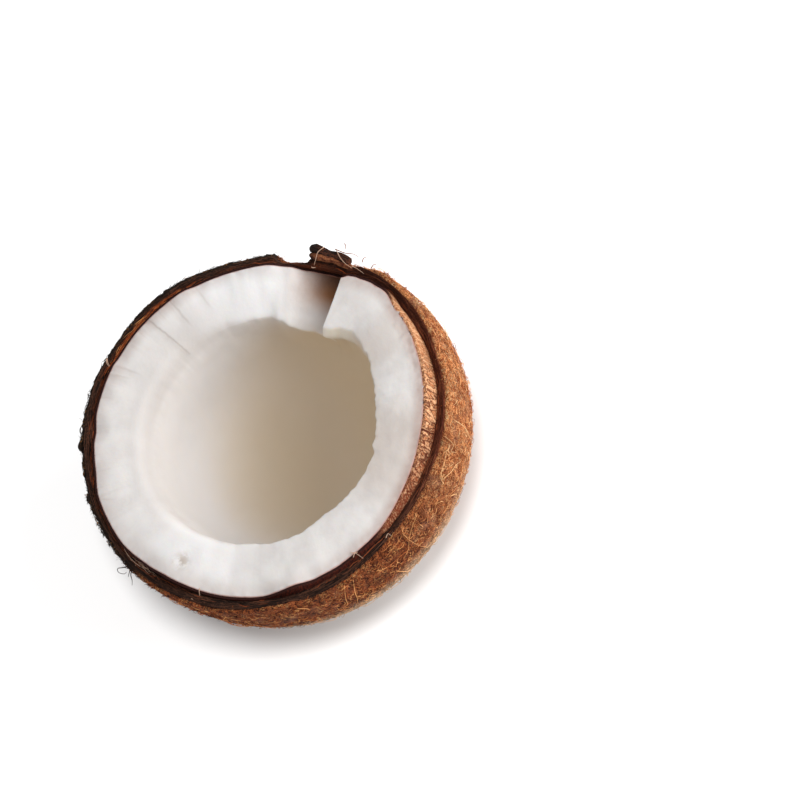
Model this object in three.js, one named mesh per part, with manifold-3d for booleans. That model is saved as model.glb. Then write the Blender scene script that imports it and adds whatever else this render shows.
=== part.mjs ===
// Half a coconut, husked and cracked open across the middle. It rests on its round end with the
// broken face up. Millimetres, +Z up; the origin is the centre of the small flat it rests on.
// -Y is the near side, and azimuths are degrees counted from +X towards +Y.

import * as THREE from 'three';
import { mergeVertices } from 'three/addons/utils/BufferGeometryUtils.js';
import Module from 'manifold-3d';

const wasm = await Module();
wasm.setup();

// The body: half of a slightly three-sided egg
const RIM_RADIUS = 56; // outside radius at the break
const WAIST_DROP = 5; // the widest level lies this far below the break
const POLE_DEPTH = 55; // from the widest level down to the rest flat
const RIDGE_HEIGHT = 1; // the three long ridges of a coconut's shell
const RIDGE_AZIMUTH = -2;
const SWELL_HEIGHT = 6.8; // one side bulges out below the rim
const SWELL_AZIMUTH = -46;
const SWELL_NARROWNESS = 2.9;
const FLATTENING = 1.4; // and all the others are a little leaner there
const REST_ANGLE = 7; // half-angle of the rest flat, seen from the middle of the widest level

// The layers, each measured inwards from the outside of the coir
const COAT_THICKNESS = 0.9;
const SHELL_THICKNESS = 2.8;
const TESTA_THICKNESS = 0.5;
const LAYER_GAP = 0.25;
const TESTA_STEP = 0.1; // its edge lies this far below the flesh's
const SHELL_DEPTH = COAT_THICKNESS + LAYER_GAP;
const TESTA_DEPTH = SHELL_DEPTH + SHELL_THICKNESS + LAYER_GAP;
const KERNEL_DEPTH = TESTA_DEPTH + TESTA_THICKNESS + LAYER_GAP;

// The hollow inside the flesh
const CAVITY_RADIUS = 37.5;
const CAVITY_DEPTH = 39; // below the widest level

// The step where the flesh cracked across the rim, skewed from the shell to the hollow
const STEP_AZIMUTH = 21.5;
const STEP_HALF_WIDTH = 0.4;
const STEP_SKEW = 5;
const STEP_REACH = 18;

// The three germination eyes round the pole, between the ridges
const EYE_AZIMUTH = 58;
const EYE_DISTANCE = 13.5;
const EYE_RADIUS = 3.8;
const EYE_SINK = 1.4; // how deep an eye dips into the shell
const EYE_SIDES = 16;

// Heights of the broken edges above the rim's mean level, as [azimuth, height] round the rim
const coatEdge = around([
  [-166, 0.1], [-152, 2], [-138, 1.4], [-124, 1.9], [-118, 1.5], [-111, -0.7], [-98, -0.8],
  [-88, -0.8], [-76, -1.2], [-70, -1.8], [-60, -2.1], [-48, -2.8], [-36, -2.5], [-20, -1.4],
  [-10, -1.3], [4, -0.6], [9, -0.4], [13, -1.8], [19, -6], [34.5, -6], [36, -9], [45.5, -9],
  [47.5, -1.4], [58, -1.9], [70, -0.6], [80, 0.6], [90, 0.4], [106, -1.1], [125, -0.6], [138, -0.4],
  [144, -1.2], [154, -1.2], [160, -0.4],
]);
const shellOuterEdge = around([
  [-166, 0.4], [-152, 2.4], [-138, 1.8], [-124, 2.3], [-118, 1.9], [-111, -0.3], [-98, -0.4],
  [-88, -0.4], [-76, -0.8], [-70, -1.4], [-60, -1.7], [-48, -2.4], [-36, -2.1], [-20, -1],
  [-10, -0.9], [4, -0.2], [16, 0.3], [22, 0.2], [34.5, -0.2], [36, -2], [45.5, -2.1], [47.5, 0.1],
  [51, -0.6], [58, -1.1], [66, -0.5], [75, 0.2], [88, 0.8], [106, -0.5], [125, 0], [138, 0],
  [150, -0.3], [160, 0],
]);
const shellInnerEdge = around([
  [-160, 0.2], [-145, 0.5], [-130, 0], [-117, -1], [-90, -1.8], [-72, -2.7], [-60, -3.1], [-50, -3.4],
  [-32, -3.4], [-20, -3.1], [-10, -1.9], [0, -1.9], [8, -1], [24, -1.2], [45, -0.6], [70, 0],
  [100, -0.5], [130, -0.6],
]);
const fleshOuterEdge = around([
  [-170, 1.6], [-160, 2.6], [-152, 2.8], [-146, 1.8], [-135, 1.2], [-127, 0.7], [-115, 2.2],
  [-107, 0.8], [-98, 0.1], [-81, -0.8], [-64, -0.2], [-46, 0.2], [-25, 0.6], [-8, 0.7], [8, 1.1],
  [21.1, 0.7], [21.9, -5.6], [30, -5], [36, -3.8], [42, -0.6], [49, 1.8], [60, 1.4], [74, 1.4],
  [80, 2.4], [90, 1.6], [98, 1.2], [110, 0.5], [114, 1.1], [124, 0.8], [131, 0.9], [137, -0.2],
  [142, 0.8], [150, 1],
]);
const fleshInnerEdge = around([
  [-163, -0.6], [-145, -0.2], [-60, -0.2], [0, -0.2], [21.1, 0.2], [21.9, -9.5], [32, -7.5],
  [46, -4.8], [64, -4.4], [100, -4.6], [140, -4.4], [165, -3],
]);

// Near the rim the body flares out, and the shell is thinner where its inside stands further out
const rimFlare = around([
  [-45, 0], [-20, 0.4], [-8, 0.8], [10, 0.9], [16, 0.7], [24, 0], [140, 0], [165, 0.4], [-176, 0.5],
  [-160, 0.1], [-150, 0],
]);
const shellThinning = around([
  [-2, 0], [5, 1.2], [10, 0.8], [16, 0.3], [19, 0], [21.1, -0.9], [21.9, 0], [150, 0], [161, 0.9],
  [178, 1], [-168, 0.3], [-160, 0],
]);
const FLARE_FADE = 8; // how soon, below the rim, both are gone

// How far the shell's outer edge is split away round the rim, and the hollow's radius at its edge
const shellSplit = around([
  [0, 0], [17, 0], [20, 0.8], [34.5, 0.9], [36, 1.9], [45.5, 1.9], [47.5, 0.2], [52, 0], [180, 0],
]);
const hollowEdge = around([
  [-163, 34.2], [-145, 34.9], [-133, 36.2], [-108, 36.1], [-95, 35.3], [-83, 36.2], [-73, 36.6],
  [-61, 38], [-50, 36.7], [-36, 35.8], [-24, 36.1], [-8, 37.1], [4, 38.4], [10, 37.5],
  [21.1, 34.4], [21.9, 34.4], [35, 34.5], [48, 36.1], [64, 35.3], [78, 36.2], [120, 36],
  [160, 35],
]);
// Under that edge the flesh breaks back in a narrow second face, tallest beside the step
const lipDrop = around([[-170, 0.6], [-60, 0.6], [-14, 1.2], [2, 3.6], [21.1, 3.8], [21.9, 1], [60, 1]]);
const LIP_SLOPE = 0.3; // how far that face leans in for each millimetre down

// Torn splinters of the outer shell that stand off the rim beside the step, from root to tip.
// lift and curl are how far the tip rises and leans out, sink and rootDrop how far the root is
// tucked in and lies lower.
const SPLINTERS = [
  {
    from: 20.4, to: 36.4, radius: 56, height: 0.8, width: 3.3, tall: 2.6,
    lift: 0.6, curl: 0.2, sink: 0.4, rootDrop: 0.7,
  },
  {
    from: 18, to: 35, radius: 54.25, height: 0, width: 1.8, tall: 1.9,
    lift: 0.3, curl: -0.3, sink: 0, rootDrop: 0.6,
  },
];
const TIP_WIDTH = 0.35; // share of the width left at the very tip
const TIP_BLUNTNESS = 1.7;
const ROOT_SLIMNESS = 0.15;
const CORNER_CUT = 0.3;

// Unevenness of the broken faces
const SHELL_JAG = { height: 0.3, waves: [17, 5], twists: [60, 0] };
const FLESH_RIPPLE = { height: 0.35, waves: [9, 4], twists: [70, -110] };
const FLESH_CROWN = 0.5;
const BEVEL_CURVE = 1.3; // how late the flesh's broken face starts to fall
const FIT_FADE = 4; // how soon, below its edge, the hollow becomes round
const SKEW_FADE = 6; // and loses the crack's skew

// Mesh fineness
const COARSE_STEP = 6; // degrees between columns
const FINE_STEP = 2; // and near the crack
const FINE_BEFORE = 4; // fine columns before and after the crack
const FINE_AFTER = 14;
const HIDDEN_RINGS = [14, 28, 42, 56, 70, 80, 88]; // polar angles shared by all hidden faces
const OUTSIDE_RINGS = [REST_ANGLE, 14, 20, 26, 32, 38, 44, 50, 56, 62, 68, 74, 79, 84, 89];
const LEAST_RING = 0.8; // degrees between crowded rings
const SHELL_FACE_RINGS = [0, 0.33, 0.67, 1];
const FLESH_FACE_RINGS = [0.12, 0.32, 0.55, 0.78, 1];
const CAVITY_RINGS = [0.9, 0.78, 0.65, 0.52, 0.38, 0.24, 0.11];

const RIM_HEIGHT = WAIST_DROP + POLE_DEPTH;
const RIM_ANGLE = Math.acos(-WAIST_DROP / POLE_DEPTH);
const WAIST_RADIUS = RIM_RADIUS / Math.sin(RIM_ANGLE);
const BELT_PEAK = 27 / 256; // the most that s^3 (1 - s) reaches

const rad = THREE.MathUtils.degToRad;
const { lerp } = THREE.MathUtils;

// A smooth closed line through [azimuth, value] points, level at each of them
function around(points) {
  const sorted = [...points].sort((a, b) => a[0] - b[0]);
  const last = sorted.at(-1);
  const closed = [[last[0] - 360, last[1]], ...sorted, [sorted[0][0] + 360, sorted[0][1]]];
  return (azimuth) => {
    const k = closed.findIndex((point) => point[0] > azimuth);
    const [a, b] = [closed[k - 1], closed[k]];
    return lerp(a[1], b[1], THREE.MathUtils.smoothstep(azimuth, a[0], b[0]));
  };
}

// Column azimuths from -180 to 180, fine near the crack, with one column on each side of it
function columnAzimuths() {
  const columns = [];
  for (let k = FINE_BEFORE; k >= 0; k--) columns.push(STEP_AZIMUTH - STEP_HALF_WIDTH - k * FINE_STEP);
  for (let k = 0; k <= FINE_AFTER; k++) columns.push(STEP_AZIMUTH + STEP_HALF_WIDTH + k * FINE_STEP);
  const start = columns.at(-1);
  const span = columns[0] + 360 - start;
  const count = Math.round(span / COARSE_STEP);
  for (let k = 1; k < count; k++) columns.push(start + (span * k) / count);
  return columns.map((azimuth) => (azimuth > 180 ? azimuth - 360 : azimuth)).sort((a, b) => a - b);
}

const COLUMNS = columnAzimuths();

// How far the body's radius departs from the plain egg
function swell(azimuth, polar) {
  const s = polar / RIM_ANGLE;
  const side = ((1 + Math.cos(rad(azimuth - SWELL_AZIMUTH))) / 2) ** SWELL_NARROWNESS;
  const belt = (s ** 3 * (1 - s)) / BELT_PEAK;
  const ridges = Math.cos(3 * rad(azimuth - RIDGE_AZIMUTH)) * Math.sin(polar) ** 2;
  return RIDGE_HEIGHT * ridges + (SWELL_HEIGHT * side - FLATTENING) * belt;
}

function polarPoint(azimuth, radius, z) {
  return new THREE.Vector3(radius * Math.cos(rad(azimuth)), radius * Math.sin(rad(azimuth)), z);
}

// How much further out the layer at this depth lies near the rim
function flare(azimuth, polar, depth) {
  const inside = THREE.MathUtils.clamp((depth - SHELL_DEPTH) / SHELL_THICKNESS, 0, 1);
  return (polar / RIM_ANGLE) ** FLARE_FADE * (rimFlare(azimuth) + shellThinning(azimuth) * inside);
}

// A point of the layer that lies at this depth, polar measured from the pole up
function layerPoint(azimuth, polar, depth) {
  const outwards = swell(azimuth, polar) + flare(azimuth, polar, depth);
  const radius = (WAIST_RADIUS - depth + outwards) * Math.sin(polar);
  return polarPoint(azimuth, radius, POLE_DEPTH - (POLE_DEPTH - depth) * Math.cos(polar));
}

// Where that layer reaches a height above the rim's mean level
function edgePolar(height, depth) {
  return Math.acos((-WAIST_DROP - height) / (POLE_DEPTH - depth));
}

function edgePoint(azimuth, height, depth) {
  return layerPoint(azimuth, edgePolar(height, depth), depth);
}

// Rings of a layer from the pole up, at these polar angles and crowded below a low edge, then its edge
function layerRings(angles, depth, edgeHeight) {
  return [...angles, Infinity].map((angle, k) => COLUMNS.map((azimuth) => {
    const room = rad(LEAST_RING) * (angles.length - k);
    const highest = edgePolar(edgeHeight(azimuth), depth) - room;
    return layerPoint(azimuth, Math.min(rad(angle), highest), depth);
  }));
}

// The unevenness of a broken face, u across it from 0 outside to 1 inside
function ripple({ height, waves, twists }, azimuth, u) {
  const [first, second] = waves.map((count, k) => Math.sin(rad(count * azimuth + twists[k] * u)));
  return height * first * second;
}

// A closed body from rings of points. Either end closes on a pole point, or with a flat if it is null
function loft(rings, startPole, endPole) {
  const points = rings.flat();
  const n = COLUMNS.length;
  const index = [];
  for (let r = 0; r + 1 < rings.length; r++) {
    for (let c = 0; c < n; c++) {
      const d = (c + 1) % n;
      const [a, b, e, f] = [r * n + c, r * n + d, (r + 1) * n + c, (r + 1) * n + d];
      const short = points[a].distanceTo(points[f]) < points[b].distanceTo(points[e]);
      index.push(...(short ? [a, b, f, a, f, e] : [a, b, e, b, f, e]));
    }
  }
  if (startPole) {
    points.push(startPole);
    for (let c = 0; c < n; c++) index.push(points.length - 1, (c + 1) % n, c);
  } else {
    fillFlat(index, n);
  }
  const top = (rings.length - 1) * n;
  points.push(endPole);
  for (let c = 0; c < n; c++) index.push(points.length - 1, top + c, top + ((c + 1) % n));
  const geometry = new THREE.BufferGeometry().setFromPoints(points);
  geometry.setIndex(index);
  return geometry;
}

// A level disc across the first ring: one large triangle round the middle, then halved arcs
function fillFlat(index, n) {
  const arc = (a, b) => {
    if (b - a < 2) return;
    const middle = Math.floor((a + b) / 2);
    index.push(a % n, b % n, middle % n);
    arc(a, middle);
    arc(middle, b);
  };
  const corners = [0, Math.round(n / 3), Math.round((2 * n) / 3), n];
  index.push(corners[0], corners[2], corners[1]);
  for (let k = 0; k < 3; k++) arc(corners[k], corners[k + 1]);
}

function toSolid(geometry) {
  const bare = geometry.clone();
  bare.deleteAttribute('normal');
  bare.deleteAttribute('uv');
  const merged = mergeVertices(bare);
  const vertProperties = new Float32Array(merged.attributes.position.array);
  const triVerts = new Uint32Array(merged.index.array);
  return new wasm.Manifold(new wasm.Mesh({ numProp: 3, vertProperties, triVerts }));
}

function toGeometry(solid) {
  const { vertProperties, triVerts } = solid.getMesh();
  const geometry = new THREE.BufferGeometry();
  geometry.setAttribute('position', new THREE.BufferAttribute(vertProperties, 3));
  geometry.setIndex(new THREE.BufferAttribute(triVerts, 1));
  return geometry;
}

function eyeAzimuths() {
  return [0, 120, -120].map((turn) => EYE_AZIMUTH + turn);
}

// The thin coat of coir left on the shell, with a hole over each eye
function makeCoat() {
  const outside = layerRings(OUTSIDE_RINGS, 0, coatEdge);
  for (const point of outside[0]) point.z = 0;
  const inside = layerRings(HIDDEN_RINGS, COAT_THICKNESS, coatEdge);
  const pole = new THREE.Vector3(0, 0, COAT_THICKNESS);
  const coat = loft([...outside, ...inside.reverse()], null, pole);
  let solid = toSolid(coat);
  for (const azimuth of eyeAzimuths()) {
    const drill = new THREE.CylinderGeometry(EYE_RADIUS, EYE_RADIUS, 2 * EYE_DISTANCE, EYE_SIDES);
    drill.rotateX(Math.PI / 2);
    drill.translate(...polarPoint(azimuth, EYE_DISTANCE, 0));
    solid = solid.subtract(toSolid(drill));
  }
  return toGeometry(solid);
}

// One torn splinter: a box bent along the rim, rooted in the shell and rounded off at its tip
function makeSplinter({ from, to, radius, height, lift, width, tall, curl, sink, rootDrop }) {
  const box = new THREE.BoxGeometry(1, 1, 1, 9, 2, 2);
  const position = box.attributes.position;
  for (let k = 0; k < position.count; k++) {
    const along = position.getX(k) + 0.5;
    const root = (1 - along) ** 4;
    const tip = Math.min(1, TIP_WIDTH + TIP_BLUNTNESS * Math.sqrt(1 - along));
    const corner = 1 - CORNER_CUT * Math.abs(4 * position.getY(k) * position.getZ(k));
    const girth = tip * corner * (1 - ROOT_SLIMNESS * (1 - along));
    const out = radius + curl * along ** 2 - sink * root - position.getY(k) * width * girth;
    const up = height + lift * along ** 3 - rootDrop * root + position.getZ(k) * tall * girth;
    const bent = polarPoint(lerp(from, to, along), out, RIM_HEIGHT + up);
    position.setXYZ(k, bent.x, bent.y, bent.z);
  }
  return box;
}

// The hard dark shell, dished at each eye, with its torn splinters
function makeShell() {
  const outerDepth = (a) => SHELL_DEPTH + shellSplit(a);
  const innerDepth = SHELL_DEPTH + SHELL_THICKNESS;
  const outside = layerRings(HIDDEN_RINGS, SHELL_DEPTH, shellOuterEdge);
  outside.pop();
  const face = SHELL_FACE_RINGS.map((u) => COLUMNS.map((a) => {
    const jag = Math.sin(Math.PI * u) * ripple(SHELL_JAG, a, u);
    const height = lerp(shellOuterEdge(a), shellInnerEdge(a), u) + jag;
    return edgePoint(a, height, lerp(outerDepth(a), innerDepth, u));
  }));
  const inside = layerRings(HIDDEN_RINGS, innerDepth, shellInnerEdge);
  inside.pop();
  const poles = [SHELL_DEPTH, innerDepth].map((depth) => new THREE.Vector3(0, 0, depth));
  let solid = toSolid(loft([...outside, ...face, ...inside.reverse()], ...poles));
  for (const splinter of SPLINTERS) solid = solid.add(toSolid(makeSplinter(splinter)));
  for (const azimuth of eyeAzimuths()) {
    const dish = new THREE.SphereGeometry(EYE_RADIUS, EYE_SIDES, EYE_SIDES / 2);
    const surface = layerPoint(azimuth, Math.asin(EYE_DISTANCE / WAIST_RADIUS), SHELL_DEPTH);
    dish.translate(surface.x, surface.y, surface.z + EYE_SINK - EYE_RADIUS);
    solid = solid.subtract(toSolid(dish));
  }
  return toGeometry(solid);
}

// The brown skin of the kernel
function makeTesta() {
  const depths = [TESTA_DEPTH, TESTA_DEPTH + TESTA_THICKNESS];
  const [outside, inside] = depths.map((depth) =>
    layerRings(HIDDEN_RINGS, depth, (a) => fleshOuterEdge(a) - TESTA_STEP));
  const poles = depths.map((depth) => new THREE.Vector3(0, 0, depth));
  return loft([...outside, ...inside.reverse()], ...poles);
}

// The broken face and the hollow turn towards the crack's skewed line
function skewed(azimuth, amount) {
  const nearness = Math.max(0, 1 - Math.abs(azimuth - STEP_AZIMUTH) / STEP_REACH);
  return azimuth - STEP_SKEW * amount * THREE.MathUtils.smoothstep(nearness, 0, 1);
}

// The white flesh: its outside, the uneven broken face, the second face under the edge, the hollow
function makeKernel() {
  const outside = layerRings(HIDDEN_RINGS, KERNEL_DEPTH, fleshOuterEdge);
  const face = FLESH_FACE_RINGS.map((u) => COLUMNS.map((a) => {
    const edge = edgePoint(a, fleshOuterEdge(a), KERNEL_DEPTH);
    const radius = lerp(Math.hypot(edge.x, edge.y), hollowEdge(a), u);
    const crown = Math.sin(Math.PI * u) * (FLESH_CROWN + ripple(FLESH_RIPPLE, a, u));
    const height = lerp(fleshOuterEdge(a), fleshInnerEdge(a), u ** BEVEL_CURVE) + crown;
    return polarPoint(skewed(a, u), radius, RIM_HEIGHT + height);
  }));
  const lip = COLUMNS.map((a) => {
    const drop = lipDrop(a);
    const height = fleshInnerEdge(a) - drop;
    return polarPoint(skewed(a, 1), hollowEdge(a) - LIP_SLOPE * drop, RIM_HEIGHT + height);
  });
  const hollow = CAVITY_RINGS.map((t) => COLUMNS.map((a, c) => {
    const top = lip[c];
    const topPolar = Math.acos((POLE_DEPTH - top.z) / CAVITY_DEPTH);
    const stretch = Math.hypot(top.x, top.y) / (CAVITY_RADIUS * Math.sin(topPolar)) - 1;
    const polar = topPolar * t;
    const radius = CAVITY_RADIUS * Math.sin(polar) * (1 + stretch * t ** FIT_FADE);
    return polarPoint(skewed(a, t ** SKEW_FADE), radius, POLE_DEPTH - CAVITY_DEPTH * Math.cos(polar));
  }));
  const poles = [KERNEL_DEPTH, POLE_DEPTH - CAVITY_DEPTH].map((z) => new THREE.Vector3(0, 0, z));
  return loft([...outside, ...face, lip, ...hollow], ...poles);
}

function addPiece(group, name, geometry, color, roughness) {
  geometry.computeVertexNormals();
  const material = new THREE.MeshStandardMaterial({ color, roughness, metalness: 0 });
  const mesh = new THREE.Mesh(geometry, material);
  mesh.name = name;
  group.add(mesh);
}

const coconutHalf = new THREE.Group();
addPiece(coconutHalf, 'coir_coat', makeCoat(), 0xaa7a54, 0.95);
addPiece(coconutHalf, 'shell', makeShell(), 0x3a2016, 0.7);
addPiece(coconutHalf, 'testa', makeTesta(), 0x9c6238, 0.75);
addPiece(coconutHalf, 'kernel', makeKernel(), 0xefebe6, 0.5);

export default coconutHalf;
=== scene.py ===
import math
import random
from bisect import bisect

import bmesh
import bpy
from mathutils import Matrix, Vector, noise


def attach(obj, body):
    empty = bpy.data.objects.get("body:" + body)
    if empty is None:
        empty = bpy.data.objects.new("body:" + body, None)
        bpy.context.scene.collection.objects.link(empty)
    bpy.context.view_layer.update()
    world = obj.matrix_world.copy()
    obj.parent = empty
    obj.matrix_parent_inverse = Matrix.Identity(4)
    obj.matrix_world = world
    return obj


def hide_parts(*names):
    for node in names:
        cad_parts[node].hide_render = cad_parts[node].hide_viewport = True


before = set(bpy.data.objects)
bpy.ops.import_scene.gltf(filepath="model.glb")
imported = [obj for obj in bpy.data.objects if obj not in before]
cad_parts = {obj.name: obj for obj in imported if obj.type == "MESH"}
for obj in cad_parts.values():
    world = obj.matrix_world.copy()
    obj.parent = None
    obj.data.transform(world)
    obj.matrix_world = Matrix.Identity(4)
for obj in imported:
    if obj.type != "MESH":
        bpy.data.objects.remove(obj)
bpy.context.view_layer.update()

mm = 0.001
print("frame loaded")

# Lengths are millimetres and angles degrees from here on, azimuths counted from +X towards +Y.
# The camera comes first

view = {
    "aim": (35.835, -19.472, 50.069),
    "distance": 751.2,
    "elevation": 62.98,
    "roll": -41.89,
    "lens": 116.256,
    "sensor": 36,
}


def makeCamera():
    camera = bpy.data.objects.new("camera", bpy.data.cameras.new("camera"))
    camera.data.lens = view["lens"]
    camera.data.sensor_width = view["sensor"]
    tilt = Matrix.Rotation(math.radians(90 - view["elevation"]), 4, "X")
    roll = Matrix.Rotation(math.radians(view["roll"]), 4, "Z")
    aim = Matrix.Translation(Vector(view["aim"]) * mm)
    camera.matrix_world = aim @ tilt @ roll @ Matrix.Translation((0, 0, view["distance"] * mm))
    bpy.context.scene.collection.objects.link(camera)
    bpy.context.scene.camera = camera


makeCamera()
print("camera placed")

# The body is half of a slightly three-sided egg, in the same figures as its solids

body = {
    "rimRadius": 56,
    "waistDrop": 5,  # the widest level lies this far below the break
    "poleDepth": 55,  # and the rest flat this far below that level
    "ridgeHeight": 1,
    "ridgeAzimuth": -2,
    "swellHeight": 6.8,  # one side bulges out below the rim
    "swellAzimuth": -46,
    "swellNarrowness": 2.9,
    "flattening": 1.4,
    "restAngle": 7,
    "crack": 21.5,  # azimuth of the step where the flesh cracked across
    "crackSkew": 4.2,
    "crackReach": 18,
    "shellDepth": 1.15,
    "shellThickness": 2.8,
    "flareFade": 8,
    "bunching": 0.72,  # columns of vertices stand this much closer together at the crack
    "bunchReach": 8,
}
rimHeight = body["waistDrop"] + body["poleDepth"]
rimAngle = math.acos(-body["waistDrop"] / body["poleDepth"])
waistRadius = body["rimRadius"] / math.sin(rimAngle)
beltPeak = 27 / 256  # the most that s^3 (1 - s) reaches


def mix(low, high, share):
    return low + (high - low) * share


def ramp(value, start, end):
    share = min(1, max(0, (value - start) / (end - start)))
    return share * share * (3 - 2 * share)


def apart(azimuth, other):
    return abs((azimuth - other + 180) % 360 - 180)


def near(azimuth, middle, reach):
    return 1 - ramp(apart(azimuth, middle), 0, reach)


def around(*points):
    # a smooth closed line through (azimuth, value) points, level at each of them
    points = sorted(points)
    first, last = points[0], points[-1]
    closed = [(last[0] - 360, last[1]), *points, (first[0] + 360, first[1])]
    starts = [point[0] for point in closed]

    def at(azimuth):
        azimuth = (azimuth + 180) % 360 - 180
        k = bisect(starts, azimuth)
        low, high = closed[k - 1], closed[k]
        return mix(low[1], high[1], ramp(azimuth, low[0], high[0]))

    return at


# Near the rim the body flares out, and the shell is thinner where its inside stands further out
rimFlare = around(
    (-45, 0), (-20, 0.4), (-8, 0.8), (10, 0.9), (16, 0.7), (24, 0), (140, 0), (165, 0.4),
    (-176, 0.5), (-160, 0.1), (-150, 0))
shellThinning = around(
    (-2, 0), (5, 1.2), (10, 0.8), (16, 0.3), (19, 0), (21.1, -0.9), (21.9, 0), (150, 0),
    (161, 0.9), (178, 1), (-168, 0.3), (-160, 0))


def flare(azimuth, polar, depth):
    inside = min(1, max(0, (depth - body["shellDepth"]) / body["shellThickness"]))
    fade = (polar / rimAngle) ** body["flareFade"]
    return fade * (rimFlare(azimuth) + shellThinning(azimuth) * inside)


def swell(azimuth, polar):
    s = polar / rimAngle
    side = (1 + math.cos(math.radians(azimuth - body["swellAzimuth"]))) / 2
    belt = s ** 3 * (1 - s) / beltPeak
    ridges = math.cos(3 * math.radians(azimuth - body["ridgeAzimuth"])) * math.sin(polar) ** 2
    bulge = body["swellHeight"] * side ** body["swellNarrowness"] - body["flattening"]
    return body["ridgeHeight"] * ridges + bulge * belt


def layer(azimuth, polar, depth):
    # radius and height of the layer at this depth, polar in radians from the pole up
    outwards = swell(azimuth, polar) + flare(azimuth, polar, depth)
    radius = (waistRadius - depth + outwards) * math.sin(polar)
    return radius, body["poleDepth"] - (body["poleDepth"] - depth) * math.cos(polar)


def edgePolar(height, depth):
    return math.acos((-body["waistDrop"] - height) / (body["poleDepth"] - depth))


def spot(azimuth, radius, height):
    turn = math.radians(azimuth)
    return Vector((radius * math.cos(turn), radius * math.sin(turn), height))


def onLayer(azimuth, polar, depth):
    return spot(azimuth, *layer(azimuth, polar, depth))


def skewed(azimuth, share):
    # the broken face and the hollow turn towards the crack's slanted line
    closeness = max(0, 1 - abs(azimuth - body["crack"]) / body["crackReach"])
    return azimuth - body["crackSkew"] * share * ramp(closeness, 0, 1)


def rough(point, size, octaves=2, seed=0):
    # unevenness from about -1 to 1 that changes over this many millimetres
    return noise.fractal(point / size + Vector((seed, 7 * seed, 0)), 1, 2, octaves)


def rimPoint(azimuth, across=0):
    # for unevenness that runs across the rim
    return spot(azimuth, body["rimRadius"], across)


def bunched(azimuth):
    gap = (azimuth - body["crack"] + 180) % 360 - 180
    closer = body["bunching"] * math.exp(-((gap / body["bunchReach"]) ** 2))
    return body["crack"] + gap * (1 - closer)


def asPiece(name, shape):
    mesh = bpy.data.meshes.new(name)
    shape.to_mesh(mesh)
    shape.free()
    mesh.shade_smooth()
    return addPiece(name, mesh)


def wrapSkin(name, columns, profileOf, relief):
    # a closed skin from the outer pole up to the rim, over it and down to the inner pole
    rings = len(profileOf(0)) - 1
    skin = bmesh.new()
    bmesh.ops.create_uvsphere(skin, u_segments=columns, v_segments=rings, radius=1)
    across = skin.verts.layers.float.new("across")
    profiles = {}
    for vert in skin.verts:
        column = round(columns * math.atan2(vert.co.y, vert.co.x) / math.tau) % columns
        ring = round(rings * math.acos(min(1, max(-1, -vert.co.z))) / math.pi)
        if column not in profiles:
            azimuth = bunched((360 * column / columns + 180) % 360 - 180)
            profiles[column] = (azimuth, profileOf(azimuth))
        azimuth, profile = profiles[column]
        zone, share, turn, radius, height = profile[ring]
        vert[across] = zone + share
        vert.co = relief(azimuth, zone, share, spot(turn, radius, height)) * mm
    return asPiece(name, skin)


def addPiece(name, mesh):
    piece = bpy.data.objects.new(name, mesh)
    bpy.context.scene.collection.objects.link(piece)
    return piece


def finishPiece(piece, slot, material, *nodes):
    piece.data.materials.clear()
    piece.data.materials.append(material)
    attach(piece, "root")
    if nodes:
        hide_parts(*nodes)
    print(piece.name, len(piece.data.polygons), "faces")


# Heights of the broken edges above the rim's mean level, round the rim

nearEdge = (
    (-152, 2), (-138, 1.4), (-124, 1.9), (-118, 1.5), (-111, -0.7), (-98, -0.8), (-88, -0.8),
    (-76, -1.2), (-70, -1.8), (-60, -2.1), (-48, -2.8), (-36, -2.5), (-20, -1.4), (-10, -1.3),
    (4, -0.6))
shellStep = 0.4  # how far the shell stands above the coat there
edges = {
    "coat": around(
        (-166, 0.1), *nearEdge, (9, -0.4), (13, -1.8), (19, -6), (34.5, -6), (36, -9), (45.5, -9),
        (47.5, -1.4), (58, -1.9), (70, -0.6), (80, 0.6), (90, 0.4), (106, -1.1), (125, -0.6),
        (138, -0.4), (144, -1.2), (154, -1.2), (160, -0.4)),
    "shellOuter": around(
        (-166, 0.4), *((azimuth, height + shellStep) for azimuth, height in nearEdge), (16, 0.3),
        (22, 0.2), (34.5, -0.2), (36, -2), (45.5, -2.1), (47.5, 0.1), (51, -0.6), (58, -1.1),
        (66, -0.5), (75, 0.2), (88, 0.8), (106, -0.5), (125, 0), (138, 0), (150, -0.3), (160, 0)),
    "shellInner": around(
        (-160, 0.2), (-145, 0.5), (-130, 0), (-117, -1), (-90, -1.8), (-72, -2.7), (-60, -3.1),
        (-50, -3.4), (-32, -3.4), (-20, -3.1), (-10, -1.9), (0, -1.9), (8, -1), (24, -1.2),
        (45, -0.6), (70, 0), (100, -0.5), (130, -0.6)),
    "fleshOuter": around(
        (-170, 1.6), (-160, 2.6), (-152, 2.8), (-146, 1.8), (-135, 1.2), (-127, 0.7), (-115, 2.2),
        (-107, 0.8), (-98, 0.1), (-81, -0.8), (-64, -0.2), (-46, 0.2), (-25, 0.6), (-8, 0.7),
        (8, 1.1), (21.1, 0.7), (21.9, -5.6), (30, -5), (36, -3.8), (42, -0.6), (49, 1.8),
        (60, 1.4), (74, 1.4), (80, 2.4), (90, 1.6), (98, 1.2), (110, 0.5), (114, 1.1), (124, 0.8),
        (131, 0.9), (137, -0.2), (142, 0.8), (150, 1)),
    "fleshInner": around(
        (-163, -0.5), (-145, -0.2), (-60, -0.2), (0, -0.2), (21.1, 0.2), (21.9, -9.5), (32, -7.5),
        (46, -4.8), (64, -4.4), (92, -4.4), (115, -3.3), (140, -2.3), (165, -1.4)),
}

# The flesh: a broken face on top, a narrow second face under its inner edge, then the hollow

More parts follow.
